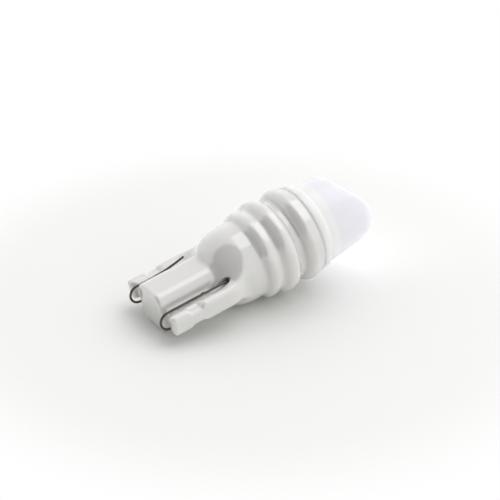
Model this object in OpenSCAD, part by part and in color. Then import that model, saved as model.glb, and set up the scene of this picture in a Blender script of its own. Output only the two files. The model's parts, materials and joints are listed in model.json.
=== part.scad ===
// Wedge base LED bulb with a one-piece glazed ceramic body, lying as it comes to rest.
// Millimetres. Each piece is drawn upright, with its axis along Z and the wedge tip at
// zero, and lie() then lays the whole bulb on the wedge's tip and its widest ring.

/* [Wedge] */
// Width of the wedge over both rails
wedge_w = 9.5; // [9.3:0.1:9.8]
// Thickness of the rails that run in the holder
rail_t = 2.1; // [2:0.05:2.3]
// Width of each rail
rail_w = 1.35; // [1.2:0.05:1.4]
// Rounding along the outer edges of the rails
rail_round = 0.5; // [0.3:0.05:0.6]
// Distance from the dome's centre back to where the rails start to curve in
rail_lead = 3.5; // [2.8:0.1:3.8]
// Radius with which the rails curve in to the dome
rail_curve = 2.2; // [1.8:0.1:2.6]
// Thickness of the web under the wires
web_t = 1.44; // [1.2:0.02:1.46]
// Depth of the gap in the tip that each wire turns through
tip_gap = 0.5; // [0.4:0.05:0.6]
// Distance from the tip to the middle of the latch notches
notch_z = 2.75; // [2.5:0.05:3]
// Length of each latch notch at the rail surface
notch_l = 1.7; // [1.4:0.1:1.9]
// Depth of each latch notch
notch_d = 0.33; // [0.2:0.01:0.4]

/* [Boss] */
// Width of the channel for a wire, between each rail and the boss
channel_w = 1.2; // [1.15:0.05:1.4]
// Thickness of the middle of the wedge
boss_t = 4.4; // [4.2:0.05:4.6]
// Corner radius of the middle of the wedge
boss_round = 1.2; // [0.8:0.05:1.6]
// Rounding at the free ends of the boss and the rails
tip_round = 0.35; // [0.2:0.05:0.45]

/* [Body] */
// Set-back of the dome's radius from half the wedge's width
dome_inset = 0.67; // [0.6:0.01:0.75]
// Distance from the tip to the centre of the dome
dome_z = 9.8; // [9.6:0.05:9.9]
// Height of the small cooling ring's crest over the dome
small_ring_rise = 0.52; // [0.4:0.01:0.57]
// Distance from the dome's centre to the crest of the small ring
small_ring_lead = 2.05; // [1.9:0.05:2.2]
// Radius of the small ring's rounded edge
small_ring_edge = 0.85; // [0.7:0.05:0.9]
// Depth of the valley between the two rings, from the small ring's crest
valley_drop = 0.18; // [0.12:0.01:0.3]
// Height of the big cooling ring's crest over the small ring's
big_ring_rise = 0.44; // [0.38:0.01:0.55]
// Distance between the crests of the two rings
ring_pitch = 2; // [1.9:0.05:2.1]
// Radius of the big ring's rounded edge towards the wedge
big_ring_edge = 1.05; // [0.9:0.05:1.1]
// Radius of the big ring's tighter edge towards the lens
big_ring_lip = 0.45; // [0.3:0.05:0.6]
// Distance from the crest of the big ring to its end
big_ring_l = 1.05; // [0.95:0.05:1.1]
// Wall between the hollow and the groove behind the big ring
groove_wall = 0.85; // [0.75:0.05:0.95]
// Width of the groove between the big ring and the collar
groove_w = 0.6; // [0.5:0.05:0.7]
// Length of the collar
collar_l = 2; // [1.9:0.05:2.3]
// Wall of the collar round the seat, at its mouth
collar_wall = 0.68; // [0.6:0.02:0.75]
// Height of the collar's crest over its mouth
collar_rise = 0.25; // [0.2:0.01:0.32]
// Radius of the collar's rounded back edge
collar_edge = 0.6; // [0.5:0.05:0.8]
// Depth of the seat for the board and the lens, from the mouth
seat_d = 1.7; // [1.6:0.05:1.75]
// Wall between the dome's outside and the hollow
dome_wall = 1.2; // [1.1:0.05:1.3]
// Wall between the dome's radius and the hollow above it
body_wall = 0.73; // [0.68:0.01:0.78]
// Width of the ledge that carries the board, from the hollow to the seat
ledge_w = 0.65; // [0.6:0.05:0.7]

/* [Lens] */
// Set-back of the lens above its flange from the mouth of the collar
lens_inset = 0.3; // [0.25:0.01:0.4]
// Radius that the lens loses from its flange to its end
lens_taper = 0.62; // [0.4:0.02:0.7]
// Height of the lens flange
flange_h = 1; // [0.8:0.05:1.2]
// Width of the ledge on top of the flange, outside its fillet
flange_land = 0.03; // [0.02:0.01:0.1]
// Radius of the fillet between the flange and the lens
flange_fillet = 0.1; // [0.05:0.01:0.15]
// Length of the lens beyond the collar
lens_l = 6.6; // [6.2:0.05:7]
// Turn of the roof-shaped end about the axis, in degrees
lens_turn = -7; // [-15:1:15]
// Half width of the flat ridge across the end
ridge_half_w = 1.33; // [1:0.01:1.6]
// Slope of the two roof faces beside the ridge, in degrees
roof_slope = 39.7; // [35:0.1:44]
// Rounding along both sides of the ridge
ridge_round = 0.5; // [0.3:0.05:0.7]
// Wall of the lens round its own hollow, at the flange
lens_side = 1.08; // [1:0.02:1.15]
// Wall of the spigot round the LED packages
spigot_wall = 0.31; // [0.26:0.01:0.35]
// Solid plastic between the lens's hollow and the ridge
lens_cap = 4; // [3.7:0.1:4.5]

/* [Wires] */
// Diameter of the contact wires
wire_d = 0.36; // [0.3:0.01:0.4]
// Distance from each rail to the centre of the wire beside it
wire_side = 0.45; // [0.35:0.01:0.5]
// Gap between each wire and the web that it runs along
wire_lift = 0.03; // [0.02:0.01:0.08]
// Distance from the tip to the centre of the turn
turn_z = 0.33; // [0.2:0.01:0.4]
// Distance from the tip at which the free leg starts to bow
bow_z = 1.6; // [1.4:0.1:2]
// Radius of the free leg's bow
bow_r = 16; // [14:0.5:20]
// Distance from the dome's centre back to the end of the free leg
leg_lead = 3.9; // [3.8:0.1:4.4]
// Distance from the start of a wire hole back to the kink in the fixed leg
kink_lead = 1.7; // [1.4:0.1:2]
// Height of the kink
kink_h = 0.09; // [0.05:0.01:0.12]
// Clearance between a wire and its hole in the ceramic
wire_play = 0.22; // [0.15:0.01:0.25]
// Distance from the dome's centre back to the start of the wire holes
hole_lead = 3.65; // [3.5:0.05:3.8]

/* [Light engine] */
// Thickness of the LED board
board_t = 0.8; // [0.6:0.05:0.8]
// Clearance between the board and the collar
board_play = 0.1; // [0.08:0.01:0.12]
// Side of each square LED package
led_w = 2; // [1.8:0.05:2.4]
// Height of each LED package
led_h = 0.6; // [0.5:0.05:0.7]
// Gap between the two square LED packages
led_gap = 0.8; // [0.5:0.05:1]
// Rim of each package round its phosphor window
phosphor_rim = 0.25; // [0.2:0.01:0.35]
// Depth of the phosphor window
phosphor_h = 0.4; // [0.3:0.05:0.45]
// Length of the bridge rectifier
rectifier_l = 2.8; // [2.6:0.1:3]
// Width of the bridge rectifier's body
rectifier_w = 1.7; // [1.6:0.05:1.8]
// Height of the bridge rectifier
rectifier_h = 1.1; // [0.9:0.05:1.3]
// Distance from the axis to the middle of the rectifier
rectifier_y = 1; // [0.9:0.05:1.1]
// Length of each chip resistor
resistor_l = 1.6; // [1.4:0.05:1.7]
// Width of each chip resistor
resistor_w = 0.8; // [0.7:0.05:0.9]
// Height of each chip resistor
resistor_h = 0.45; // [0.35:0.05:0.55]
// Gap between the two resistors
resistor_gap = 0.3; // [0.2:0.05:0.4]
// Clearance between the resistors' outer corners and the wall of the hollow
resistor_play = 0.3; // [0.2:0.05:0.6]
// Clearance between the foot of each solder joint and the lens spigot
solder_play = 0.04; // [0.03:0.01:0.1]
// Height of each solder joint
solder_h = 0.45; // [0.35:0.05:0.5]

/* [Bonds] */
// Thickness of the silicone under the lens flange and under the board
bond_t = 0.08; // [0.05:0.01:0.12]
// Set-back of the silicone from the outside of the collar
bond_inset = 0.12; // [0.1:0.01:0.2]
// Clearance between pieces that are bonded or soldered round their sides
snug = 0.01; // [0.01:0.01:0.03]
// Distance from the dome's centre back to the lower end of the wire seals
seal_lead = 2.5; // [2.3:0.05:2.6]
// Length of each wire seal
seal_l = 1.7; // [1.4:0.1:1.9]

/* [Hidden] */

// Smoothness of the view, and an overlap that makes unions and cuts clean
$fn = 72;
eps = 0.02;

wire_r = wire_d / 2;
hole_r = wire_r + wire_play;

// Across the wedge: a rail, a channel with its wire, the boss, and the same again
rail_x = (wedge_w - rail_w) / 2;
boss_w = wedge_w - 2 * (rail_w + channel_w);
wire_x = wedge_w / 2 - rail_w - wire_side;
turn_r = web_t / 2 + wire_r + wire_lift;
wire_reach = norm([wire_x, turn_r]);

// Radii, from the wedge outwards to the rings and the collar
dome_r = wedge_w / 2 - dome_inset;
small_ring_r = dome_r + small_ring_rise;
valley_r = small_ring_r - valley_drop;
big_ring_r = small_ring_r + big_ring_rise;
hollow_r = dome_r - body_wall;
groove_r = hollow_r + groove_wall;
seat_r = hollow_r + ledge_w;
mouth_r = seat_r + collar_wall;
collar_r = mouth_r + collar_rise;
board_r = seat_r - board_play;

// Distances from the tip along the axis
rail_run = dome_z - rail_lead;
hole_z = dome_z - hole_lead;
kink_z = hole_z - kink_lead;
leg_end = dome_z - leg_lead;
seal_z = dome_z - seal_lead;
small_ring_z = dome_z + small_ring_lead;
big_ring_z = small_ring_z + ring_pitch;
big_ring_end = big_ring_z + big_ring_l;
collar_z = big_ring_end + groove_w;
mouth_z = collar_z + collar_l;

// Heights of the pieces that stack in the collar
seat_z = mouth_z - seat_d;
board_z = seat_z + bond_t;
board_top = board_z + board_t;
flange_z = mouth_z + bond_t;
spigot_z = board_top + bond_t;

// The lens on its seat, and what fits inside its spigot
lens_r = mouth_r - lens_inset;
lens_end_r = lens_r - lens_taper;
lens_end = mouth_z + lens_l;
flange_r = lens_r + flange_fillet + flange_land;
lens_hollow_r = lens_r - lens_side;
spigot_r = seat_r - snug;
spigot_hollow_r = spigot_r - spigot_wall;
solder_r = spigot_hollow_r - wire_reach - solder_play;
led_pitch = led_w + led_gap;
phosphor_d = led_w - 2 * phosphor_rim;

// The resistors lie end to end, their outer corners near the wall of the hollow
resistor_pitch = resistor_l + resistor_gap;
corner_x = resistor_l + resistor_gap / 2;
corner_r = hollow_r - resistor_play;
resistor_y = sqrt(corner_r * corner_r - corner_x * corner_x) - resistor_w / 2;

// The fixed leg ends inside its solder joint
wire_top = board_top + solder_h - eps;

// Tilt at which the rounded tip of the boss and a rounded ring touch one surface. The ring
// is given by its crest radius, the place of its rounding's centre and the rounding's radius.
function touch(crest_r, z, edge) =
    let (rise = crest_r - edge - (boss_t / 2 - tip_round))
    let (run = z - tip_round)
    atan2(rise, run) + asin((edge - tip_round) / norm([run, rise]));
// The lens end comes down until the first ring, or the dome, touches
tilt = max(touch(dome_r, dome_z, dome_r),
           touch(small_ring_r, small_ring_z, small_ring_edge),
           touch(big_ring_r, big_ring_z, big_ring_edge),
           touch(collar_r, collar_z + collar_edge, collar_edge));
tip_height = (boss_t / 2 - tip_round) * cos(tilt) + tip_round * (1 - sin(tilt));

// The origin is on the surface, under the middle of the lying bulb
base_reach = turn_z * cos(tilt) - turn_r - wire_r;
ridge_y = ridge_half_w - ridge_round * tan(roof_slope / 2);
ridge_end = sqrt(lens_end_r * lens_end_r - ridge_y * ridge_y);
top_y = ridge_y * cos(lens_turn) + ridge_end * abs(sin(lens_turn));
lens_reach = (lens_end - ridge_round) * cos(tilt) + ridge_round + top_y * sin(tilt);

module lie() {
    translate([-(base_reach + lens_reach) / 2, 0, tip_height])
        rotate([0, -tilt, 0])
            rotate([90, 0, 90])
                children();
}

// The wedge reads the same from both faces: side b is side a turned half round the axis
module side(name) {
    rotate([0, 0, name == "a" ? 0 : 180])
        children();
}

module rounded_rect(w, h, r) {
    square([w - 2 * r, h], center = true);
    square([w, h - 2 * r], center = true);
    for (x = [-1, 1], y = [-1, 1])
        translate([x * (w / 2 - r), y * (h / 2 - r)])
            circle(r);
}

// A bar along Z with a rounded section, and a rounded free end at zero
module rounded_bar(w, t, r, length) {
    intersection() {
        linear_extrude(length)
            rounded_rect(w, t, r);
        rotate([90, 0, 0])
            linear_extrude(t + 1, center = true)
                bar_side(w, length);
        rotate([90, 0, 90])
            linear_extrude(w + 1, center = true)
                bar_side(t, length);
    }
}

module bar_side(w, length) {
    translate([0, length])
        rounded_rect(w, 2 * length, tip_round);
}

// Plan of the wedge in its own plane: straight sides that curve in under the dome
module wedge_plan() {
    translate([-wedge_w / 2, 0])
        square([wedge_w, rail_run]);
    translate([-wedge_w / 2 + rail_curve, 0])
        square([wedge_w - 2 * rail_curve, dome_z - eps]);
    for (x = [-1, 1])
        translate([x * (wedge_w / 2 - rail_curve), rail_run])
            circle(rail_curve);
}

module latch_notches() {
    depth = notch_d + 1;
    for (y = [-1, 1])
        rotate([90, 0, 90])
            linear_extrude(wedge_w + 1, center = true)
                translate([0, notch_z])
                    polygon([[y * (rail_t / 2 - notch_d), -notch_l / 2 + notch_d],
                             [y * (rail_t / 2 - notch_d), notch_l / 2 - notch_d],
                             [y * (rail_t / 2 + depth), notch_l / 2 + depth],
                             [y * (rail_t / 2 + depth), -notch_l / 2 - depth]]);
}

module rails() {
    difference() {
        for (x = [-1, 1])
            translate([x * rail_x, 0, 0])
                rounded_bar(rail_w, rail_t, rail_round, dome_z);
        latch_notches();
    }
}

module wedge() {
    rounded_bar(boss_w, boss_t, boss_round, dome_z);
    intersection() {
        union() {
            rails();
            translate([-rail_x, -web_t / 2, tip_gap])
                cube([2 * rail_x, web_t, dome_z - tip_gap - eps]);
        }
        rotate([90, 0, 0])
            linear_extrude(boss_t, center = true)
                wedge_plan();
    }
}

// Outline of the dome, the rings and the collar, to be turned round the axis
module body_outline() {
    intersection() {
        translate([0, dome_z])
            circle(dome_r);
        translate([0, dome_z - dome_r])
            square([dome_r, 2 * dome_r]);
    }
    translate([0, dome_z])
        square([dome_r, small_ring_z - dome_z]);
    translate([0, small_ring_z])
        square([valley_r, big_ring_z - small_ring_z]);
    translate([0, big_ring_z])
        square([groove_r, mouth_z - big_ring_z]);
    translate([small_ring_r - small_ring_edge, small_ring_z])
        circle(small_ring_edge);
    big_ring_outline();
    collar_outline();
}

module big_ring_outline() {
    translate([big_ring_r - big_ring_edge, big_ring_z])
        circle(big_ring_edge);
    translate([big_ring_r - big_ring_lip, big_ring_end - big_ring_lip])
        circle(big_ring_lip);
    polygon([[0, big_ring_z],
             [big_ring_r, big_ring_z],
             [big_ring_r, big_ring_end - big_ring_lip],
             [big_ring_r - big_ring_lip, big_ring_end],
             [0, big_ring_end]]);
}

module collar_outline() {
    translate([collar_r - collar_edge, collar_z + collar_edge])
        circle(collar_edge);
    polygon([[0, collar_z],
             [collar_r - collar_edge, collar_z],
             [collar_r, collar_z + collar_edge],
             [mouth_r, mouth_z],
             [0, mouth_z]]);
}

module hollow_outline() {
    floor_z = dome_z - dome_r + dome_wall;
    intersection() {
        translate([0, dome_z])
            circle(dome_r - dome_wall);
        translate([0, floor_z])
            square([dome_r, dome_z - floor_z]);
    }
    polygon([[0, dome_z - eps],
             [dome_r - dome_wall, dome_z - eps],
             [hollow_r, small_ring_z],
             [hollow_r, seat_z + eps],
             [0, seat_z + eps]]);
    translate([0, seat_z])
        square([seat_r, mouth_z - seat_z + eps]);
}

module wire_hole() {
    translate([-wire_x, turn_r, hole_z])
        cylinder(r = hole_r, h = small_ring_z - hole_z);
}

module ceramic_body() {
    color([0.93, 0.93, 0.91])
        lie()
            difference() {
                union() {
                    wedge();
                    rotate_extrude()
                        body_outline();
                }
                rotate_extrude()
                    hollow_outline();
                for (name = ["a", "b"])
                    side(name)
                        wire_hole();
            }
}

// Outline of the lens: a spigot in the collar, a flange on it and the long tapered body
module lens_outline() {
    body_z = flange_z + flange_h + flange_fillet;
    difference() {
        polygon([[0, spigot_z],
                 [spigot_r, spigot_z],
                 [spigot_r, flange_z],
                 [mouth_r, flange_z],
                 [flange_r, flange_z + flange_h],
                 [lens_r + flange_fillet, flange_z + flange_h],
                 [lens_r, body_z],
                 [lens_end_r, lens_end],
                 [0, lens_end]]);
        translate([lens_r + flange_fillet, body_z])
            circle(flange_fillet);
    }
}

// The hollow over the LED packages, with a domed top
module lens_hollow() {
    top_z = lens_end - lens_cap;
    dome_start = top_z - lens_hollow_r / 2;
    translate([0, spigot_z - eps])
        square([lens_hollow_r, dome_start - spigot_z + eps]);
    translate([0, spigot_z - eps])
        square([spigot_hollow_r, led_h + eps]);
    intersection() {
        translate([0, dome_start - lens_hollow_r * 3 / 4])
            circle(lens_hollow_r * 5 / 4);
        translate([0, dome_start - eps])
            square([lens_hollow_r, lens_hollow_r]);
    }
}

// End view of the roof: a flat ridge, rounded on both sides, and a slope beside each
module roof_profile() {
    reach = 2 * lens_r;
    side_y = ridge_half_w + reach;
    eaves_z = lens_end - reach * tan(roof_slope);
    round_y = ridge_y + ridge_round * sin(roof_slope);
    round_z = lens_end - ridge_round * (1 - cos(roof_slope));
    polygon([[-side_y, eaves_z - lens_end],
             [side_y, eaves_z - lens_end],
             [side_y, eaves_z],
             [round_y, round_z],
             [ridge_y, lens_end],
             [-ridge_y, lens_end],
             [-round_y, round_z],
             [-side_y, eaves_z]]);
    for (y = [-ridge_y, ridge_y])
        translate([y, lens_end - ridge_round])
            circle(ridge_round);
}

module lens() {
    color([0.93, 0.94, 0.99])
        lie()
            intersection() {
                difference() {
                    rotate_extrude()
                        lens_outline();
                    rotate_extrude()
                        lens_hollow();
                }
                rotate([90, 0, 90 + lens_turn])
                    linear_extrude(3 * lens_r, center = true)
                        roof_profile();
            }
}

// A flat silicone ring
module bond_ring(inner_r, outer_r, z) {
    translate([0, 0, z])
        difference() {
            cylinder(r = outer_r, h = bond_t);
            translate([0, 0, -eps])
                cylinder(r = inner_r, h = bond_t + 2 * eps);
        }
}

module lens_bond() {
    color([0.85, 0.85, 0.86])
        lie()
            bond_ring(seat_r + bond_inset, mouth_r - bond_inset, mouth_z);
}

module board_bond() {
    color([0.85, 0.85, 0.86])
        lie()
            bond_ring(hollow_r + bond_inset, board_r - bond_inset, seat_z);
}

module led_board() {
    color([0.95, 0.95, 0.93])
        lie()
            difference() {
                translate([0, 0, board_z])
                    cylinder(r = board_r, h = board_t);
                for (name = ["a", "b"])
                    side(name)
                        translate([-wire_x, turn_r, board_z - eps])
                            cylinder(r = wire_r + snug, h = board_t + 2 * eps);
            }
}

module led_package(name) {
    color([0.97, 0.97, 0.95])
        lie()
            side(name)
                translate([0, led_pitch / 2, board_top])
                    difference() {
                        translate([-led_w / 2, -led_w / 2, 0])
                            cube([led_w, led_w, led_h]);
                        translate([0, 0, led_h - phosphor_h])
                            cylinder(d = phosphor_d, h = phosphor_h + eps);
                    }
}

module led_phosphor(name) {
    color([0.98, 0.88, 0.45])
        lie()
            side(name)
                translate([0, led_pitch / 2, board_top + led_h - phosphor_h])
                    cylinder(d = phosphor_d - 2 * snug, h = phosphor_h);
}

// The rectifier's body, with two short leads on each long side
module rectifier() {
    lead_w = rectifier_l / 7;
    lead_l = rectifier_w / 4;
    lead_t = rectifier_h / 6;
    color([0.16, 0.16, 0.17])
        lie()
            translate([0, rectifier_y, board_z - rectifier_h]) {
                translate([-rectifier_l / 2, -rectifier_w / 2, 0])
                    cube([rectifier_l, rectifier_w, rectifier_h]);
                for (x = [-1, 1], y = [-1, 1])
                    translate([x * rectifier_l / 4 - lead_w / 2,
                               y * (rectifier_w + lead_l - eps) / 2 - (lead_l + eps) / 2,
                               rectifier_h - lead_t])
                        cube([lead_w, lead_l + eps, lead_t]);
            }
}

module resistor(x) {
    color([0.2, 0.2, 0.22])
        lie()
            translate([x * resistor_pitch / 2 - resistor_l / 2,
                       -resistor_y - resistor_w / 2,
                       board_z - resistor_h])
                cube([resistor_l, resistor_w, resistor_h]);
}

module solder_joint(name) {
    collar_w = wire_r + solder_h / 4;
    color([0.75, 0.75, 0.77])
        lie()
            side(name)
                translate([-wire_x, turn_r, board_top])
                    rotate_extrude()
                        difference() {
                            polygon([[0, 0],
                                     [solder_r, 0],
                                     [solder_r, solder_h / 5],
                                     [collar_w, solder_h],
                                     [0, solder_h]]);
                            translate([0, -eps])
                                square([wire_r + snug, wire_top - board_top + snug + eps]);
                        }
}

// Centre line of a wire in its own plane, as half thickness and height: the fixed leg with
// its kink from the top down, the turn round the wedge, and the free leg that bows out
function wire_route() =
    let (kink_l = 3 * kink_h)
    let (bow = asin((leg_end - bow_z) / bow_r))
    concat([[turn_r, wire_top],
            [turn_r, kink_z + kink_l],
            [turn_r + kink_h, kink_z],
            [turn_r, kink_z - kink_l]],
           [for (a = [0:15:180]) [turn_r * cos(a), turn_z - turn_r * sin(a)]],
           [for (a = [0:bow / 8:bow]) [-turn_r - bow_r * (1 - cos(a)), bow_z + bow_r * sin(a)]]);

function unit(v) = v / norm(v);
// Direction square to the route at point i, in the route's plane
function across(route, i) =
    let (ahead = unit(route[min(i + 1, len(route) - 1)] - route[max(i - 1, 0)]))
    [ahead[1], -ahead[0]];

// A round tube of wire along a route, set off along X
module wire_tube(route, x) {
    sides = 12;
    points = [for (i = [0:len(route) - 1], k = [0:sides - 1])
                  let (a = 360 * k / sides)
                  let (centre = route[i] + across(route, i) * wire_r * cos(a))
                  [x + wire_r * sin(a), centre[0], centre[1]]];
    walls = [for (i = [0:len(route) - 2], k = [0:sides - 1])
                 let (next = (k + 1) % sides)
                 [i * sides + k, i * sides + next, (i + 1) * sides + next, (i + 1) * sides + k]];
    ends = [[for (k = [sides - 1:-1:0]) k],
            [for (k = [0:sides - 1]) (len(route) - 1) * sides + k]];
    polyhedron(points, concat(walls, ends), convexity = 6);
}

module contact_wire(name) {
    color([0.42, 0.4, 0.38])
        lie()
            side(name)
                wire_tube(wire_route(), -wire_x);
}

// Adhesive that closes the hole round each wire, below the hollow
module wire_seal(name) {
    color([0.55, 0.47, 0.4])
        lie()
            side(name)
                translate([-wire_x, turn_r, seal_z])
                    difference() {
                        cylinder(r = hole_r - snug, h = seal_l);
                        translate([0, 0, -eps])
                            cylinder(r = wire_r + snug, h = seal_l + 2 * eps);
                    }
}

ceramic_body();
lens();
lens_bond();
board_bond();
led_board();
led_package("a");  // led_package_a
led_package("b");  // led_package_b
led_phosphor("a");  // led_phosphor_a
led_phosphor("b");  // led_phosphor_b
rectifier();
resistor(-1);  // resistor_a
resistor(1);  // resistor_b
solder_joint("a");  // solder_joint_a
solder_joint("b");  // solder_joint_b
contact_wire("a");  // contact_wire_a
contact_wire("b");  // contact_wire_b
wire_seal("a");  // wire_seal_a
wire_seal("b");  // wire_seal_b
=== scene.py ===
# %% [markdown]
# # A wedge base LED bulb in Blender
#
# This lesson dresses a small ceramic bulb. Its measured pieces come packed from the CAD
# model, and Blender adds what CAD leaves plain: the soft edges that a glaze leaves, a milky
# diffuser, drawn wire, and a table top with studio light.
#
# We load the imported model first. It never moves.

# %% Load the imported model
import json
import math

import bpy
import numpy as np
from mathutils import Matrix, Vector


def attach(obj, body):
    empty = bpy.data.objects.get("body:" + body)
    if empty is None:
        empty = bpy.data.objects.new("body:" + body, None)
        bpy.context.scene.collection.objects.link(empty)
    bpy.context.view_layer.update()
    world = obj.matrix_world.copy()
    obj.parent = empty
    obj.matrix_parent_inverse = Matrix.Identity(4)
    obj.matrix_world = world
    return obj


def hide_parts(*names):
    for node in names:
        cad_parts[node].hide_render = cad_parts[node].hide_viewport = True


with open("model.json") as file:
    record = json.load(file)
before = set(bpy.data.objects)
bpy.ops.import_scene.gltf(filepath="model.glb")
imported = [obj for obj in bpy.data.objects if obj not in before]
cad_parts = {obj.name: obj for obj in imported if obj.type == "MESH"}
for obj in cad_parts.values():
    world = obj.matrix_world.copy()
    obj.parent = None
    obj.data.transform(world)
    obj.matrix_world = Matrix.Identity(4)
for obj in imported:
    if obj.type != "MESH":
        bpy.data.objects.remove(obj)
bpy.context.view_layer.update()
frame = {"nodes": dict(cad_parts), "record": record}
nodes = frame["nodes"]
print("pieces in the packed model:", len(nodes))

MM = 0.001

# %% [markdown]
# ## Where the bulb lies
#
# Every piece of the bulb is easiest to draw upright, in millimetres, with Z along its axis
# and zero at the wedge's tip. The real bulb lies on a table, on its tip and its widest ring.
#
# We could turn each piece by hand, but the model's record already says how it lies: its
# mount called wedge_base sits at the tip and looks out along the axis, and the upper rail
# face looks along the wedge's thickness. Two directions and a point are enough to build the
# matrix that lays an upright piece down.

# %% Matrix from the upright bulb to the lying one
mounts = {mount["name"]: mount for mount in frame["record"]["mounts"]}
tip = Vector(mounts["wedge_base"]["pos_m"])
axis_z = -Vector(mounts["wedge_base"]["axis"]).normalized()
axis_y = Vector(mounts["rail_face_upper"]["axis"]).normalized()
axis_x = axis_y.cross(axis_z)
lying = Matrix((axis_x, axis_y, axis_z)).transposed().to_4x4()
lying = Matrix.Translation(tip) @ lying @ Matrix.Scale(MM, 4)
print("tilt of the axis:", round(math.degrees(math.asin(axis_z.z)), 2), "degrees")

# %% [markdown]
# ## The camera
#
# The photograph was taken from a short distance with a long lens, looking down by about a
# third of a right angle. We could place the camera by eye, but these values come from a fit
# of a pinhole camera to outlines in the photograph, so edges land where they should. It
# aims at a point near the middle of the bulb. Its azimuth turns from +Y towards +X, and a
# small roll levels the picture.

# %% Camera
AIM_MM = Vector((-2.04, -2.86, 7.10))
CAMERA_DISTANCE_MM = 150
CAMERA_AZIMUTH = math.radians(33.26)
CAMERA_ELEVATION = math.radians(29.43)
CAMERA_ROLL = math.radians(-0.57)
FOCAL_LENGTH_MM = 111.6
SENSOR_MM = 36

scene = bpy.context.scene
scene.view_settings.view_transform = "Standard"

level = math.cos(CAMERA_ELEVATION)
view = Vector((math.sin(CAMERA_AZIMUTH) * level, math.cos(CAMERA_AZIMUTH) * level,
               -math.sin(CAMERA_ELEVATION)))
right = view.cross(Vector((0, 0, 1))).normalized()
up = right.cross(view)
leaning_up = up * math.cos(CAMERA_ROLL) + right * math.sin(CAMERA_ROLL)
leaning_right = view.cross(leaning_up)

camera = bpy.data.objects.new("camera", bpy.data.cameras.new("camera"))
scene.collection.objects.link(camera)
camera.data.lens = FOCAL_LENGTH_MM
camera.data.sensor_width = SENSOR_MM
camera.data.clip_start = 0.01
turn = Matrix((leaning_right, leaning_up, -view)).transposed().to_4x4()
place = (AIM_MM - view * CAMERA_DISTANCE_MM) * MM
camera.matrix_world = Matrix.Translation(place) @ turn
scene.camera = camera
print("camera height:", round(place.z / MM, 1), "mm")

# %% [markdown]
# ## Colour and node helpers
#
# We write colours as hex values, as a paint chart does. A shader works in linear light, so
# one function turns the one into the other. A second one adds a node with its settings and
# its links, and a third starts a material, which keeps each material short.

# %% Helpers for colour and nodes
def linear(hex_colour):
    """The linear colour, with alpha, of an sRGB hex value such as EDEDE8."""
    values = [int(hex_colour[i:i + 2], 16) / 255 for i in (0, 2, 4)]
    return [v / 12.92 if v <= 0.04045 else ((v + 0.055) / 1.055) ** 2.4 for v in values] + [1]


def add_node(tree, kind, settings=None, inputs=None):
    """Adds a node. A value in inputs is either a plain value or the socket to link."""
    node = tree.nodes.new(kind)
    for name, value in (settings or {}).items():
        setattr(node, name, value)
    for name, value in (inputs or {}).items():
        if isinstance(value, bpy.types.NodeSocket):
            tree.links.new(value, node.inputs[name])
        else:
            node.inputs[name].default_value = value
    return node


def new_material(name):
    """An empty node material and its Principled shader."""
    material = bpy.data.materials.new(name)
    material.use_nodes = True
    return material, material.node_tree.nodes["Principled BSDF"]


print("mid grey 808080 in linear light:", round(linear("808080")[0], 3))

# %% [markdown]
# ## Shapes from a distance field
#
# A glaze rounds every edge and fills every corner a little. Bevels along each edge of such a
# casting would be fiddly, because the rails, the boss and the dome all run into each other.
# A distance field makes it simple: a function says for each point how far it is from the
# surface, below zero inside. A smooth minimum of two such functions joins two shapes with a
# soft fillet, as wide as we like.

# %% Helpers that join fields
def join(a, b, fillet):
    """Union of two fields, with a fillet of about that many millimetres in the corner."""
    overlap = np.maximum(fillet - np.abs(a - b), 0) / fillet
    return np.minimum(a, b) - overlap * overlap * fillet / 4


def cut(a, b, edge):
    """Field a with field b taken away, and the new edge rounded."""
    return -join(-a, b, edge)


def overlap_of(a, b, edge):
    """What lies in both fields, with the edge between them rounded."""
    return -join(-a, -b, edge)


print("two faces that meet, joined with a 1 mm fillet:", join(0.0, 0.0, 1.0), "mm")

# %% [markdown]
# Three plain shapes are all that the bulb needs. Two of them are flat: they serve as the
# section of a bar, or as the half section of a piece that is turned about the axis.

# %% Helpers for plain shapes
def box_2d(u, v, half_u, half_v, corner):
    """A rectangle about zero with rounded corners."""
    du = np.abs(u) - half_u + corner
    dv = np.abs(v) - half_v + corner
    outside = np.hypot(np.maximum(du, 0), np.maximum(dv, 0))
    return outside + np.minimum(np.maximum(du, dv), 0) - corner


def circle_2d(u, v, centre_u, centre_v, radius):
    """A circle."""
    return np.hypot(u - centre_u, v - centre_v) - radius


def bar_along_z(section, z, start, end, edge):
    """A bar with the given section field, from start to end, its end edges rounded."""
    half = (end - start) / 2
    along = np.abs(z - (start + end) / 2) - half + edge
    across = section + edge
    outside = np.hypot(np.maximum(across, 0), np.maximum(along, 0))
    return outside + np.minimum(np.maximum(across, along), 0) - edge


print("field at the middle of a circle of 2 mm:", circle_2d(0, 0, 0, 0, 2), "mm")

# %% [markdown]
# ## From a field to a mesh
#
# The surface is where the field is zero. Surface nets find it. A grid is laid over the
# piece, and each cell that the surface crosses gets one vertex. Each vertex then slides onto
# the surface along the field's slope. Each grid edge that is crossed gets a quad between the
# four cells round it. Marching cubes would do as well, but its long thin triangles show in a
# glossy glaze, and surface nets give even quads.

# %% Move points onto the surface
SLOPE_REACH_MM = 0.001
SETTLE_STEPS = 4
LEAST_STEEPNESS = 0.1


def slope(field, points):
    """Gradient of the field at each point, by central differences."""
    parts = []
    for axis in range(3):
        step = np.zeros(3)
        step[axis] = SLOPE_REACH_MM
        ahead = field(*(points + step).T)
        behind = field(*(points - step).T)
        parts.append((ahead - behind) / (2 * SLOPE_REACH_MM))
    return np.stack(parts, 1)


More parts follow.
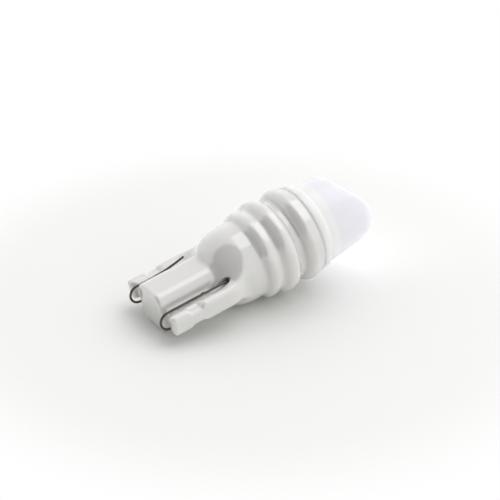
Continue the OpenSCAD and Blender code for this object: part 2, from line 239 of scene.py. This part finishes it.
def settle(field, points, cell):
    """Moves points onto the surface along the slope, by at most one cell."""
    start = points.copy()
    for _ in range(SETTLE_STEPS):
        gradient = slope(field, points)
        steepness = np.maximum((gradient * gradient).sum(1), LEAST_STEEPNESS)
        points = points - gradient * (field(*points.T) / steepness)[:, None]
        points = start + np.clip(points - start, -cell, cell)
    return points


print("steps that settle a vertex:", SETTLE_STEPS)


# %% Find the crossed cells and the quads between them
def number_crossed_cells(inside):
    """Numbers the cells with corners on both sides of the surface. The others get -1."""
    corners_inside = sum(inside[i:i - 1 or None, j:j - 1 or None, k:k - 1 or None].astype(np.int8)
                         for i in (0, 1) for j in (0, 1) for k in (0, 1))
    crossed = (corners_inside > 0) & (corners_inside < 8)
    number = np.full(crossed.shape, -1)
    number[crossed] = np.arange(crossed.sum())
    return number


def quads_along(inside, number, a):
    """A quad round each crossed grid edge that runs along axis a, facing outwards."""
    b, c = (a + 1) % 3, (a + 2) % 3
    near = np.take(inside, range(inside.shape[a] - 1), a)
    far = np.take(inside, range(1, inside.shape[a]), a)
    edges = np.argwhere(near != far)
    leaves = near[tuple(edges.T)]
    ring = []
    for step_b, step_c in ((-1, -1), (0, -1), (0, 0), (-1, 0)):
        cells = edges.copy()
        cells[:, b] += step_b
        cells[:, c] += step_c
        ring.append(number[tuple(cells.T)])
    ring = np.stack(ring, 1)
    return np.where(leaves[:, None], ring, ring[:, ::-1])


one_point = np.zeros((3, 3, 3), bool)
one_point[1, 1, 1] = True
print("cells round one inside point:", int((number_crossed_cells(one_point) >= 0).sum()))


# %% Build the mesh
def smooth_piece(name, points, quads):
    """A smooth piece of quads, drawn upright and then laid down."""
    mesh = bpy.data.meshes.new(name)
    mesh.vertices.add(len(points))
    mesh.vertices.foreach_set("co", points.astype(np.float32).ravel())
    mesh.loops.add(quads.size)
    mesh.loops.foreach_set("vertex_index", quads.astype(np.int32).ravel())
    mesh.polygons.add(len(quads))
    mesh.polygons.foreach_set("loop_start", np.arange(0, quads.size, 4, dtype=np.int32))
    mesh.update(calc_edges=True)
    mesh.validate()
    mesh.polygons.foreach_set("use_smooth", np.ones(len(mesh.polygons), bool))
    mesh.transform(lying)
    piece = bpy.data.objects.new(name, mesh)
    scene.collection.objects.link(piece)
    return piece


def surface_piece(name, field, low, high, cell):
    """The closed surface where the field is zero, inside the box low to high."""
    lines = [np.arange(a, b + cell, cell) for a, b in zip(low, high)]
    inside = field(*np.meshgrid(*lines, indexing="ij", sparse=True)) < 0
    number = number_crossed_cells(inside)
    centres = np.array(low) + (np.argwhere(number >= 0) + 0.5) * cell
    points = settle(field, centres, cell)
    quads = np.concatenate([quads_along(inside, number, axis) for axis in range(3)])
    piece = smooth_piece(name, points, quads)
    print(name, "has", 2 * len(piece.data.polygons), "triangles")
    return piece


# %% [markdown]
# ## The round part of the ceramic body
#
# The round part is one outline turned about the axis: a dome, a small ring, a round big
# ring, a groove and a collar that narrows to the mouth. A spun outline with bevels could
# make it. As a field it needs only the radius and the height of each point, and it joins the
# wedge later without a seam.

# %% Sizes of the round part, in millimetres
DOME_R = 4.08
DOME_Z = 9.8
SMALL_RING_R = 4.6
SMALL_RING_Z = 11.85
SMALL_RING_EDGE = 0.85
VALLEY_R = 4.42
BIG_RING_R = 4.95
BIG_RING_Z = 13.8
BIG_RING_EDGE = 1.05
GROOVE_R = 4.2
GROOVE_CORE_END = 0.3
COLLAR_Z = 15.5
COLLAR_R = 4.93
COLLAR_EDGE = 1.0
MOUTH_R = 4.68
MOUTH_Z = 17.5
MOUTH_EDGE = 0.12
CORE_EDGE = 0.05
CORE_FILLET = 0.2
RING_FILLET = 0.3
COLLAR_FILLET = 0.2
print("the big ring is", 2 * BIG_RING_R, "mm across")


# %% Field of the round part
def disc(r, z, radius, start, end):
    """The half section of a plain disc about the axis."""
    return box_2d(r, z - (start + end) / 2, radius, (end - start) / 2, CORE_EDGE)


def collar(r, z):
    """A soft back edge, a cone that narrows to the mouth, and a flat mouth."""
    shrink = (COLLAR_R - MOUTH_R) / (MOUTH_Z - COLLAR_Z - COLLAR_EDGE)
    cone = (r - COLLAR_R + (z - COLLAR_Z - COLLAR_EDGE) * shrink) / math.hypot(1, shrink)
    sides = np.maximum(cone, r - COLLAR_R) + COLLAR_EDGE
    back = COLLAR_Z + COLLAR_EDGE - z
    rounded = np.hypot(np.maximum(sides, 0), np.maximum(back, 0)) - COLLAR_EDGE
    rounded = np.maximum(rounded, np.minimum(np.maximum(sides, back), 0) - COLLAR_EDGE)
    return overlap_of(rounded, z - MOUTH_Z, MOUTH_EDGE)


def round_body(x, y, z):
    r = np.hypot(x, y)
    dome = np.hypot(r, np.minimum(z - DOME_Z, 0)) - DOME_R
    field = np.maximum(dome, z - SMALL_RING_Z)
    valley = disc(r, z, VALLEY_R, SMALL_RING_Z, BIG_RING_Z)
    groove = disc(r, z, GROOVE_R, BIG_RING_Z, MOUTH_Z - GROOVE_CORE_END)
    field = join(join(field, valley, CORE_FILLET), groove, CORE_FILLET)
    for ring_r, ring_z, ring_edge in ((SMALL_RING_R, SMALL_RING_Z, SMALL_RING_EDGE),
                                      (BIG_RING_R, BIG_RING_Z, BIG_RING_EDGE)):
        ring = circle_2d(r, z, ring_r - ring_edge, ring_z, ring_edge)
        field = join(field, ring, RING_FILLET)
    return join(field, collar(r, z), COLLAR_FILLET)


rim_field = float(round_body(BIG_RING_R, 0, BIG_RING_Z))
print("the big ring's rim lies on the surface:", abs(rim_field) < 0.001)

# %% [markdown]
# ## The wedge
#
# The wedge is flat: a thick boss in the middle, a rail on each side and a thin web between
# them. Small notches in the rails take the latches of the holder. Seen on the broad side,
# the rails curve in to the dome. So we draw the bars along the axis first, cut the notches,
# and keep only what lies inside the wedge's plan. The boss stands clear of the plan, because
# it runs straight into the dome.

# %% Sizes of the wedge, in millimetres
WEDGE_W = 9.5
RAIL_T = 2.1
RAIL_W = 1.35
RAIL_ROUND = 0.62
RAIL_RUN = 6.3
RAIL_CURVE = 2.2
NOTCH_Z = 2.75
NOTCH_L = 1.7
NOTCH_D = 0.33
NOTCH_EDGE = 0.2
WEB_T = 1.44
WEB_BITE = 0.1
WEB_CORNER = 0.05
WEB_TIP_ROUND = 0.15
WEB_FILLET = 0.5
TIP_GAP = 0.5
TIP_ROUND = 0.35
BOSS_W = 4.4
BOSS_T = 4.4
BOSS_ROUND = 1.25
PLAN_BELOW = 10
PLAN_ABOVE = 4
PLAN_CORNER = 0.01
PLAN_EDGE = 0.6
print("the wedge is", WEDGE_W, "mm wide and", RAIL_T, "mm thick at its rails")


# %% Field of the wedge
def wedge_plan(x, z):
    """The wedge seen on its broad side, with rails that curve in to the dome."""
    straight = box_2d(x, z - RAIL_RUN + PLAN_BELOW, WEDGE_W / 2, PLAN_BELOW, PLAN_CORNER)
    core = box_2d(x, z - RAIL_RUN, WEDGE_W / 2 - RAIL_CURVE, PLAN_ABOVE, PLAN_CORNER)
    bend = circle_2d(np.abs(x), z, WEDGE_W / 2 - RAIL_CURVE, RAIL_RUN, RAIL_CURVE)
    return np.minimum(np.minimum(straight, core), bend)


def notches(y, z):
    """A notch with sloping ends across both faces of a rail."""
    notch_slope = np.abs(z - NOTCH_Z) - NOTCH_L / 2 + (RAIL_T / 2 - np.abs(y))
    return np.maximum(notch_slope / math.sqrt(2), RAIL_T / 2 - NOTCH_D - np.abs(y))


def rails_and_web(x, y, z):
    rail_x = (WEDGE_W - RAIL_W) / 2
    rail_section = box_2d(np.abs(x) - rail_x, y, RAIL_W / 2, RAIL_T / 2, RAIL_ROUND)
    rails = cut(bar_along_z(rail_section, z, 0, DOME_Z, TIP_ROUND), notches(y, z), NOTCH_EDGE)
    web_section = box_2d(x, y, WEDGE_W / 2 - RAIL_W + WEB_BITE, WEB_T / 2, WEB_CORNER)
    web = bar_along_z(web_section, z, TIP_GAP, DOME_Z, WEB_TIP_ROUND)
    return overlap_of(join(rails, web, WEB_FILLET), wedge_plan(x, z), PLAN_EDGE)


def boss(x, y, z):
    section = box_2d(x, y, BOSS_W / 2, BOSS_T / 2, BOSS_ROUND)
    return bar_along_z(section, z, 0, DOME_Z, TIP_ROUND)


print("field in the middle of the boss:", round(float(boss(0, 0, DOME_Z / 2)), 3), "mm")

# %% [markdown]
# ## The hollow and the wire holes
#
# Inside the body is a bowl, then a bore, then a wider seat that holds the board. The lens
# covers it, but the hollow is cut all the same, so that the mesh is the real piece and not a
# plug. Each wire leaves the body through a round hole beside the boss, on opposite faces of
# the wedge.

# %% Sizes of the hollow and the wire holes, in millimetres
DOME_WALL = 1.2
HOLLOW_R = 3.35
SEAT_R = 4.0
SEAT_Z = 15.8
HOLLOW_EDGE = 0.03
BORE_OVERLAP = 0.01
WIRE_X = 2.95
TURN_R = 0.93
HOLE_R = 0.36
HOLE_Z = 5.4
HOLE_EDGE = 0.3
print("wall of the body at its bore:", round(GROOVE_R - HOLLOW_R, 2), "mm")


# %% Field of the hollow and the wire holes
def hollow(r, z):
    bowl_r = DOME_R - DOME_WALL
    bowl = np.maximum(circle_2d(r, z, 0, DOME_Z, bowl_r), z - DOME_Z)
    slant = (bowl_r - HOLLOW_R) / (SMALL_RING_Z - DOME_Z)
    bore = r - np.minimum(HOLLOW_R, bowl_r - (z - DOME_Z) * slant)
    ends = np.maximum(DOME_Z - BORE_OVERLAP - z, z - SEAT_Z - BORE_OVERLAP)
    seat = np.maximum(r - SEAT_R, SEAT_Z - z)
    return np.minimum(np.minimum(bowl, np.maximum(bore, ends)), seat)


def wire_holes(x, y, z):
    hole = np.minimum(circle_2d(x, y, -WIRE_X, TURN_R, HOLE_R),
                      circle_2d(x, y, WIRE_X, -TURN_R, HOLE_R))
    return np.maximum(hole, np.maximum(HOLE_Z - z, z - SMALL_RING_Z))


print("field in the middle of the bore:", round(float(hollow(0, (DOME_Z + SEAT_Z) / 2)), 3), "mm")

# %% [markdown]
# ## One casting
#
# Rails and dome flow into each other with a wide fillet, while the boss meets the dome in a
# tight one, as a pressed and glazed piece does. The hollow keeps a crisp edge, and the wire
# holes get the soft lip that glaze pulls round a hole.

# %% Build the body
WEDGE_FILLET = 1.3
BOSS_FILLET = 0.3
BODY_CELL_MM = 0.11
BODY_REACH_MM = 5.3
BOX_MARGIN_MM = 0.3


def ceramic_field(x, y, z):
    solid = join(round_body(x, y, z), rails_and_web(x, y, z), WEDGE_FILLET)
    solid = join(solid, boss(x, y, z), BOSS_FILLET)
    solid = cut(solid, hollow(np.hypot(x, y), z), HOLLOW_EDGE)
    return cut(solid, wire_holes(x, y, z), HOLE_EDGE)


body = surface_piece("glazed_body", ceramic_field, (-BODY_REACH_MM, -BODY_REACH_MM, -BOX_MARGIN_MM),
                     (BODY_REACH_MM, BODY_REACH_MM, MOUTH_Z + BOX_MARGIN_MM), BODY_CELL_MM)
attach(body, "root")
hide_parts("ceramic_body")

# %% [markdown]
# ## Glazed ceramic
#
# The body is steatite, a fine white ceramic, dipped in white glaze and fired. Glaze is a
# thin clear glass over the white, so a coat on top of a plain gloss shows it better than one
# gloss alone. The coat's IOR of 1.9 is that of a glass with much lead in it. It was matched
# to the photograph, where the windows in the glaze are strong.
#
# Glaze never comes out quite flat. So the colour drifts faintly over a few millimetres, a
# very shallow ripple breaks up the reflections of the lights, and a little light goes in
# and softens the shadows on the thin rails.

# %% Material: steatite with white glaze
GLAZE_TONE_MM = 4.0
GLAZE_RIPPLE_MM = 1.6
GLAZE_RIPPLE_DEPTH_MM = 0.03
GLAZE_SOFTNESS_MM = 1.2


def glazed_steatite():
    material, shader = new_material("steatite_white_glaze")
    tree = material.node_tree
    place = add_node(tree, "ShaderNodeTexCoord")
    tone = add_node(tree, "ShaderNodeTexNoise", inputs={
        "Vector": place.outputs["Object"], "Scale": 1 / (GLAZE_TONE_MM * MM), "Detail": 2.0})
    colour = add_node(tree, "ShaderNodeMix", {"data_type": "RGBA"}, {"Factor": tone.outputs["Fac"]})
    colour.inputs["A"].default_value = linear("DAD9D7")
    colour.inputs["B"].default_value = linear("DEDDDA")
    tree.links.new(colour.outputs["Result"], shader.inputs["Base Color"])
    ripple = add_node(tree, "ShaderNodeTexNoise", inputs={
        "Vector": place.outputs["Object"], "Scale": 1 / (GLAZE_RIPPLE_MM * MM), "Detail": 1.0})
    bump = add_node(tree, "ShaderNodeBump", inputs={
        "Strength": 0.15, "Distance": GLAZE_RIPPLE_DEPTH_MM * MM, "Height": ripple.outputs["Fac"]})
    tree.links.new(bump.outputs["Normal"], shader.inputs["Normal"])
    shader.inputs["Roughness"].default_value = 0.12
    shader.inputs["IOR"].default_value = 1.5
    shader.inputs["Subsurface Weight"].default_value = 0.3
    shader.inputs["Subsurface Radius"].default_value = (1.0, 0.95, 0.9)
    shader.inputs["Subsurface Scale"].default_value = GLAZE_SOFTNESS_MM * MM
    shader.inputs["Coat Weight"].default_value = 1.0
    shader.inputs["Coat Roughness"].default_value = 0.02
    shader.inputs["Coat IOR"].default_value = 1.9
    return material


body.data.materials.append(glazed_steatite())
print("the body wears", body.data.materials[0].name)

# %% [markdown]
# ## The lens
#
# The diffuser is a tapered tube with a flange below and a spigot that stands in the body. A
# solid end closes it, shaped like a roof: a narrow flat ridge with a slope on each side,
# turned a few degrees from the wedge. The same field tools make it, with tighter edges than
# the glaze has, because it comes out of a steel mould.

# %% Sizes of the lens, in millimetres
BOND_T = 0.08
BOARD_T = 0.8
LED_H = 0.6
FLANGE_Z = MOUTH_Z + BOND_T
FLANGE_H = 1.0
FLANGE_R = 4.51
FLANGE_EDGE = 0.1
FLANGE_FILLET = 0.2
SPIGOT_Z = SEAT_Z + BOND_T + BOARD_T + BOND_T
SPIGOT_PLAY = 0.01
SPIGOT_BITE = 0.1
SPIGOT_EDGE = 0.03
SPIGOT_HOLLOW_R = 3.68
LENS_R = 4.38
LENS_END_R = 3.76
LENS_END = 24.1
LENS_TURN = math.radians(-7)
LENS_CAP = 4
LENS_HOLLOW_R = 3.3
LENS_HOLLOW_EDGE = 0.05
RIDGE_HALF_W = 1.33
RIDGE_EDGE = 0.25
ROOF_SLOPE = math.radians(39.7)
ROOF_EDGE = 0.12
print("the lens stands", round(LENS_END - MOUTH_Z, 2), "mm out of the body")


# %% Field of the lens
def lens_outside(x, y, z):
    """The flange, the tapered tube above it and the spigot below it."""
    r = np.hypot(x, y)
    body_z = FLANGE_Z + FLANGE_H
    taper = (LENS_R - LENS_END_R) / (LENS_END - body_z)
    tube = (r - LENS_R + (z - body_z) * taper) / math.hypot(1, taper)
    lean = (MOUTH_R - FLANGE_R) / FLANGE_H
    flange = (r - MOUTH_R + (z - FLANGE_Z) * lean) / math.hypot(1, lean)
    flange_faces = np.abs(z - FLANGE_Z - FLANGE_H / 2) - FLANGE_H / 2
    flange = overlap_of(flange, flange_faces, FLANGE_EDGE)
    spigot = bar_along_z(r - SEAT_R + SPIGOT_PLAY, z, SPIGOT_Z, FLANGE_Z + SPIGOT_BITE, SPIGOT_EDGE)
    outside = join(np.maximum(tube, FLANGE_Z - z), flange, FLANGE_FILLET)
    return np.minimum(outside, spigot)


def roof(x, y, z):
    """A flat ridge across the end, with a slope on each side."""
    across = np.abs(y * math.cos(LENS_TURN) - x * math.sin(LENS_TURN))
    slopes = ((z - LENS_END) * math.cos(ROOF_SLOPE)
              + (across - RIDGE_HALF_W) * math.sin(ROOF_SLOPE))
    return overlap_of(z - LENS_END, slopes, RIDGE_EDGE)


def lens_hollow(r, z):
    """A bore with a low dome over it, half as high as the bore's radius, and a wider foot."""
    dome_start = LENS_END - LENS_CAP - LENS_HOLLOW_R / 2
    # Sides of 3, 4 and 5 quarters of the bore's radius let the dome meet the bore's edge
    dome = circle_2d(r, z, 0, dome_start - LENS_HOLLOW_R * 3 / 4, LENS_HOLLOW_R * 5 / 4)
    bore = r - LENS_HOLLOW_R
    inside = np.where(z < dome_start, bore, np.maximum(bore, dome))
    foot = np.maximum(r - SPIGOT_HOLLOW_R, z - SPIGOT_Z - LED_H)
    return np.minimum(inside, foot)


def lens_field(x, y, z):
    solid = overlap_of(lens_outside(x, y, z), roof(x, y, z), ROOF_EDGE)
    return cut(solid, lens_hollow(np.hypot(x, y), z), LENS_HOLLOW_EDGE)


print("field on the lens's ridge:", round(float(lens_field(0, 0, LENS_END)), 3), "mm")

# %% Build the lens
LENS_CELL_MM = 0.1
LENS_REACH_MM = 5.0
lens = surface_piece("diffuser_lens", lens_field,
                     (-LENS_REACH_MM, -LENS_REACH_MM, SPIGOT_Z - BOX_MARGIN_MM),
                     (LENS_REACH_MM, LENS_REACH_MM, LENS_END + BOX_MARGIN_MM), LENS_CELL_MM)
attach(lens, "root")
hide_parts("lens")

# %% [markdown]
# ## Milky polycarbonate
#
# The lens is moulded from polycarbonate with a white filler, and is glossy. Light goes
# into it and comes out again a little further on, so it looks soft and slightly blue beside
# the warm ceramic. Full subsurface scattering gives that. The solid end gets painted shade:
# a darker, bluer copy of the same colour, so the colour changes along the axis, where the
# hollow ends.

# %% Material: milky polycarbonate
# Where the painted shade on the solid end begins, and how far it blends in
SOLID_STARTS_MM = 19.5
SOLID_BLEND_MM = 0.6
LENS_SOFTNESS_MM = 1.2


def milky_polycarbonate():
    material, shader = new_material("milky_polycarbonate")
    tree = material.node_tree
    place = add_node(tree, "ShaderNodeTexCoord")
    from_tip = add_node(tree, "ShaderNodeVectorMath", {"operation": "SUBTRACT"}, {
        0: place.outputs["Object"], 1: tip})
    along = add_node(tree, "ShaderNodeVectorMath", {"operation": "DOT_PRODUCT"}, {
        0: from_tip.outputs["Vector"], 1: axis_z})
    solid_end_shade = add_node(tree, "ShaderNodeMapRange", {"interpolation_type": "SMOOTHSTEP"}, {
        "Value": along.outputs["Value"],
        "From Min": SOLID_STARTS_MM * MM, "From Max": (SOLID_STARTS_MM + SOLID_BLEND_MM) * MM})
    colour = add_node(tree, "ShaderNodeMix", {"data_type": "RGBA"}, {"Factor": solid_end_shade.outputs["Result"]})
    # A is the lens's own colour; B, darker and bluer, is painted shade on the solid end
    colour.inputs["A"].default_value = linear("F5F6FD")
    colour.inputs["B"].default_value = linear("EFEFFA")
    tree.links.new(colour.outputs["Result"], shader.inputs["Base Color"])
    shader.inputs["Subsurface Weight"].default_value = 1.0
    shader.inputs["Subsurface Radius"].default_value = (1.0, 1.0, 1.1)
    shader.inputs["Subsurface Scale"].default_value = LENS_SOFTNESS_MM * MM
    shader.inputs["Roughness"].default_value = 0.15
    shader.inputs["IOR"].default_value = 1.58
    return material


lens.data.materials.append(milky_polycarbonate())
print("the lens wears", lens.data.materials[0].name)

# %% [markdown]
# ## The silicone bead
#
# The bond between the collar and the flange squeezes out to a fine bead, which shows in the
# photograph as a thin grey line. A thin torus between the two rounded edges draws it. The
# bead could be one more join in the field, but it is silicone and needs its own finish.

# %% Build the bead
BEAD_R = 0.07
BEAD_INSET = 0.1
bpy.ops.mesh.primitive_torus_add(major_radius=MOUTH_R - BEAD_INSET, minor_radius=BEAD_R,
                                 major_segments=128, minor_segments=8)
bead = bpy.context.object
bead.name = "silicone_bead"
bead.data.transform(lying @ Matrix.Translation((0, 0, MOUTH_Z + BOND_T / 2)))
bead.data.polygons.foreach_set("use_smooth", np.ones(len(bead.data.polygons), bool))
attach(bead, "root")
print("the bead has", len(bead.data.polygons), "faces")

# %% [markdown]
# ## The contact wires
#
# Each lead is a piece of thin round wire. It comes out of the dome, runs down one face of
# the wedge with a small kink from the bending tool, turns round the tip and comes back on
# the other face, where it bows out as a spring. A curve with a round bevel draws exactly
# that, and its route stays a short list of straights and arcs.

# %% Sizes and route of a wire, in millimetres
WIRE_R = 0.12
WIRE_TOP = 17.1
TURN_Z = 0.33
TURN_STEP_DEGREES = 6
KINK_Z = 4.45
KINK_H = 0.09
KINK_HALF_L = 3 * KINK_H
KINK_STEPS = 8
BOW_Z = 1.6
BOW_R = 16
BOW_STEPS = 12
LEG_END = 5.9


def wire_route():
    """Points of one wire as thickness and height, from inside the bulb to the free end."""
    points = [(TURN_R, WIRE_TOP), (TURN_R, KINK_Z + KINK_HALF_L)]
    for i in range(1, KINK_STEPS):
        lift = KINK_H * math.sin(math.pi * i / KINK_STEPS) ** 2
        points.append((TURN_R + lift, KINK_Z + KINK_HALF_L * (1 - 2 * i / KINK_STEPS)))
    points.append((TURN_R, KINK_Z - KINK_HALF_L))
    for degrees in range(0, 181, TURN_STEP_DEGREES):
        angle = math.radians(degrees)
        points.append((TURN_R * math.cos(angle), TURN_Z - TURN_R * math.sin(angle)))
    bow = math.asin((LEG_END - BOW_Z) / BOW_R)
    for i in range(BOW_STEPS + 1):
        angle = bow * i / BOW_STEPS
        points.append((-TURN_R - BOW_R * (1 - math.cos(angle)), BOW_Z + BOW_R * math.sin(angle)))
    return points


print("points on the route of a wire:", len(wire_route()))

# %% [markdown]
# ## Nickel-plated wire
#
# The wire is drawn metal with a thin nickel plating, dull and dark in the photograph. So it
# is a full metal with a soft gloss, and its colour drifts between two warm greys. Drawn wire
# has marks of a few hundredths of a millimetre, too fine for this picture, so the drift is
# drawn at half a millimetre.

# %% Material: nickel-plated wire
WIRE_MARKS_MM = 0.5


def nickel_plated_wire():
    material, shader = new_material("nickel_plated_wire")
    tree = material.node_tree
    place = add_node(tree, "ShaderNodeTexCoord")
    marks = add_node(tree, "ShaderNodeTexNoise", inputs={
        "Vector": place.outputs["Object"], "Scale": 1 / (WIRE_MARKS_MM * MM), "Detail": 3.0})
    colour = add_node(tree, "ShaderNodeMix", {"data_type": "RGBA"}, {"Factor": marks.outputs["Fac"]})
    colour.inputs["A"].default_value = linear("4E4843")
    colour.inputs["B"].default_value = linear("6B6560")
    tree.links.new(colour.outputs["Result"], shader.inputs["Base Color"])
    shader.inputs["Metallic"].default_value = 1.0
    shader.inputs["Roughness"].default_value = 0.32
    return material


wire_metal = nickel_plated_wire()
print("made", wire_metal.name)

# %% [markdown]
# The second wire is the first one turned half round the axis, so a sign of plus or minus one
# is all that differs.

# %% Build the two wires
for name, half_turn in (("a", 1), ("b", -1)):
    curve = bpy.data.curves.new("wire_" + name, "CURVE")
    curve.dimensions = "3D"
    curve.bevel_depth = WIRE_R * MM
    curve.bevel_resolution = 6
    curve.use_fill_caps = True
    route = wire_route()
    spline = curve.splines.new("POLY")
    spline.points.add(len(route) - 1)
    for point, (thick, height) in zip(spline.points, route):
        upright = Vector((-half_turn * WIRE_X, half_turn * thick, height))
        point.co = (lying @ upright).to_4d()
    wire = bpy.data.objects.new("wire_" + name, curve)
    scene.collection.objects.link(wire)
    curve.materials.append(wire_metal)
    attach(wire, "root")
    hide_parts("contact_wire_" + name)
    print(wire.name, "is", round(sum(math.dist(a, b) for a, b in zip(route, route[1:])), 1), "mm long")

# %% [markdown]
# ## The pieces inside
#
# Board, LED packages, rectifier, resistors, solder and sealing stay as the CAD made them,
# because the closed bulb hides all but the sealing. Each gets the finish of the real one.
# They differ in little but colour and gloss, so one function makes them all. Their real
# grain is finer than a picture can show, so it is drawn at 0.3 mm.

# %% Materials of the inner pieces
GRAIN_MM = 0.3
GRAIN_DEPTH_MM = 0.02
GRAIN_STRENGTH = 0.04


def plain_finish(name, hex_colour, roughness, metallic=0.0):
    """A plain colour with a fine grain in its height."""
    material, shader = new_material(name)
    tree = material.node_tree
    place = add_node(tree, "ShaderNodeTexCoord")
    noise = add_node(tree, "ShaderNodeTexNoise", inputs={
        "Vector": place.outputs["Object"], "Scale": 1 / (GRAIN_MM * MM), "Detail": 2.0})
    bump = add_node(tree, "ShaderNodeBump", inputs={
        "Strength": GRAIN_STRENGTH, "Distance": GRAIN_DEPTH_MM * MM, "Height": noise.outputs["Fac"]})
    tree.links.new(bump.outputs["Normal"], shader.inputs["Normal"])
    shader.inputs["Base Color"].default_value = linear(hex_colour)
    shader.inputs["Roughness"].default_value = roughness
    shader.inputs["Metallic"].default_value = metallic
    return material


silicone = plain_finish("clear_silicone", "E4E4E8", 0.35)
finishes = (
    # Cured silicone, milky and softly glossy
    (silicone, ("lens_bond", "board_bond")),
    # Printed solder mask, a satin white
    (plain_finish("white_solder_mask", "F2F2EC", 0.4), ("led_board",)),
    # Moulded nylon, a duller white
    (plain_finish("moulded_nylon", "F6F6F1", 0.5), ("led_package_a", "led_package_b")),
    # Silicone with phosphor powder, poured level: yellow and glossy
    (plain_finish("phosphor_silicone", "F7DC6A", 0.3), ("led_phosphor_a", "led_phosphor_b")),
    # Epoxy from a blasted mould, dull and nearly black
    (plain_finish("black_epoxy", "29292B", 0.5), ("rectifier", "resistor_a", "resistor_b")),
    # Tin solder that set from liquid, a bright metal
    (plain_finish("tin_solder", "C6C6CA", 0.25, 1.0), ("solder_joint_a", "solder_joint_b")),
    # Adhesive browned by its cure, with a satin skin
    (plain_finish("cured_adhesive", "7A6450", 0.45), ("wire_seal_a", "wire_seal_b")),
)
for material, names in finishes:
    for name in names:
        slots = nodes[name].data.materials
        slots.clear()
        slots.append(material)
bead.data.materials.append(silicone)
print("inner pieces finished:", sum(len(names) for _, names in finishes))

# %% [markdown]
# ## The table top
#
# The bulb lies on a white table top that fades into a white background. A curved backdrop
# could do that, but here the plane itself turns to plain white with the distance from the
# bulb. Only camera rays see that white, so it puts no extra light on the bulb.

# %% Table top
TABLE_SIZE_M = 2.0
FADE_STARTS_MM = 24
FADE_ENDS_MM = 36


def white_table():
    material, shader = new_material("white_table_top")
    shader.inputs["Base Color"].default_value = linear("F4F4F2")
    shader.inputs["Roughness"].default_value = 0.6
    tree = material.node_tree
    place = add_node(tree, "ShaderNodeTexCoord")
    distance = add_node(tree, "ShaderNodeVectorMath", {"operation": "LENGTH"}, {0: place.outputs["Object"]})
    fade = add_node(tree, "ShaderNodeMapRange", {"interpolation_type": "SMOOTHSTEP"}, {
        "Value": distance.outputs["Value"],
        "From Min": FADE_STARTS_MM * MM, "From Max": FADE_ENDS_MM * MM})
    rays = add_node(tree, "ShaderNodeLightPath")
    seen = add_node(tree, "ShaderNodeMath", {"operation": "MULTIPLY"}, {
        0: fade.outputs["Result"], 1: rays.outputs["Is Camera Ray"]})
    backdrop = add_node(tree, "ShaderNodeEmission", inputs={"Color": (1, 1, 1, 1), "Strength": 1.0})
    mixed = add_node(tree, "ShaderNodeMixShader", inputs={
        "Fac": seen.outputs["Value"], 1: shader.outputs["BSDF"], 2: backdrop.outputs["Emission"]})
    output = tree.nodes["Material Output"]
    tree.links.new(mixed.outputs["Shader"], output.inputs["Surface"])
    return material


bpy.ops.mesh.primitive_plane_add(size=TABLE_SIZE_M, location=(0, 0, 0))
floor = bpy.context.object
floor.name = "table_top"
floor.data.materials.append(white_table())
print("the table fades to white from", FADE_STARTS_MM, "to", FADE_ENDS_MM, "mm")

# %% [markdown]
# ## The softbox
#
# A square softbox hangs above the bulb and to the right. It gives the bright window on the
# dome and the rings, and a shadow to the left of the rails. An area lamp of the same size
# does all of this, and its size sets how soft the shadow is.

# %% Softbox
SOFTBOX_TOWARDS = Vector((0.4, 0.0, 0.87)).normalized()
SOFTBOX_DISTANCE_M = 0.30
SOFTBOX_SIZE_M = 0.26
SOFTBOX_POWER_W = 0.21

softbox = bpy.data.objects.new("softbox", bpy.data.lights.new("softbox", "AREA"))
scene.collection.objects.link(softbox)
softbox.data.shape = "SQUARE"
softbox.data.size = SOFTBOX_SIZE_M
softbox.data.energy = SOFTBOX_POWER_W
softbox.location = SOFTBOX_TOWARDS * SOFTBOX_DISTANCE_M
softbox.rotation_euler = SOFTBOX_TOWARDS.to_track_quat("Z", "Y").to_euler()
print("softbox height:", round(softbox.location.z, 2), "m")

# %% [markdown]
# ## The room
#
# The room is even and white, a touch brighter on the camera's side. A round black card
# stands up on that side to the left, and its reflection gives the grey shape on the front of
# the dome. Real cards and walls round the bulb would do, but they would have to be kept out
# of the picture. The world's own direction does it with a few nodes, and the camera sees
# plain white.

# %% Room and black card
ROOM_BY_CAMERA = 1.22
ROOM_BEYOND = 1.12
ROOM_BLEND_FROM = -0.05
ROOM_BLEND_TO = 0.2
DARK_CARD_TOWARDS = Vector((-0.66, -0.38, 0.64)).normalized()
DARK_CARD_ANGLE = math.radians(43)
DARK_CARD_LEVEL = 0.1
DARK_CARD_BLUR = 0.02

world = bpy.data.worlds.new("room")
scene.world = world
world.use_nodes = True
tree = world.node_tree
background = tree.nodes["Background"]
direction = add_node(tree, "ShaderNodeTexCoord")
parts = add_node(tree, "ShaderNodeSeparateXYZ", inputs={"Vector": direction.outputs["Generated"]})
room = add_node(tree, "ShaderNodeMapRange", {"interpolation_type": "SMOOTHSTEP"}, {
    "Value": parts.outputs["Y"], "From Min": ROOM_BLEND_FROM, "From Max": ROOM_BLEND_TO,
    "To Min": ROOM_BY_CAMERA, "To Max": ROOM_BEYOND})
towards_card = add_node(tree, "ShaderNodeVectorMath", {"operation": "DOT_PRODUCT"}, {
    0: direction.outputs["Generated"], 1: DARK_CARD_TOWARDS})
card = add_node(tree, "ShaderNodeMapRange", {"interpolation_type": "SMOOTHSTEP"}, {
    "Value": towards_card.outputs["Value"],
    "From Min": math.cos(DARK_CARD_ANGLE) - DARK_CARD_BLUR,
    "From Max": math.cos(DARK_CARD_ANGLE) + DARK_CARD_BLUR,
    "To Min": 1.0, "To Max": DARK_CARD_LEVEL})
lit = add_node(tree, "ShaderNodeMath", {"operation": "MULTIPLY"}, {
    0: room.outputs["Result"], 1: card.outputs["Result"]})
rays = add_node(tree, "ShaderNodeLightPath")
shown = add_node(tree, "ShaderNodeMix", {"data_type": "FLOAT"}, {
    "Factor": rays.outputs["Is Camera Ray"], "A": lit.outputs["Value"], "B": 1.0})
tree.links.new(shown.outputs["Result"], background.inputs["Strength"])
background.inputs["Color"].default_value = (1, 1, 1, 1)
print("nodes in the room:", len(tree.nodes))
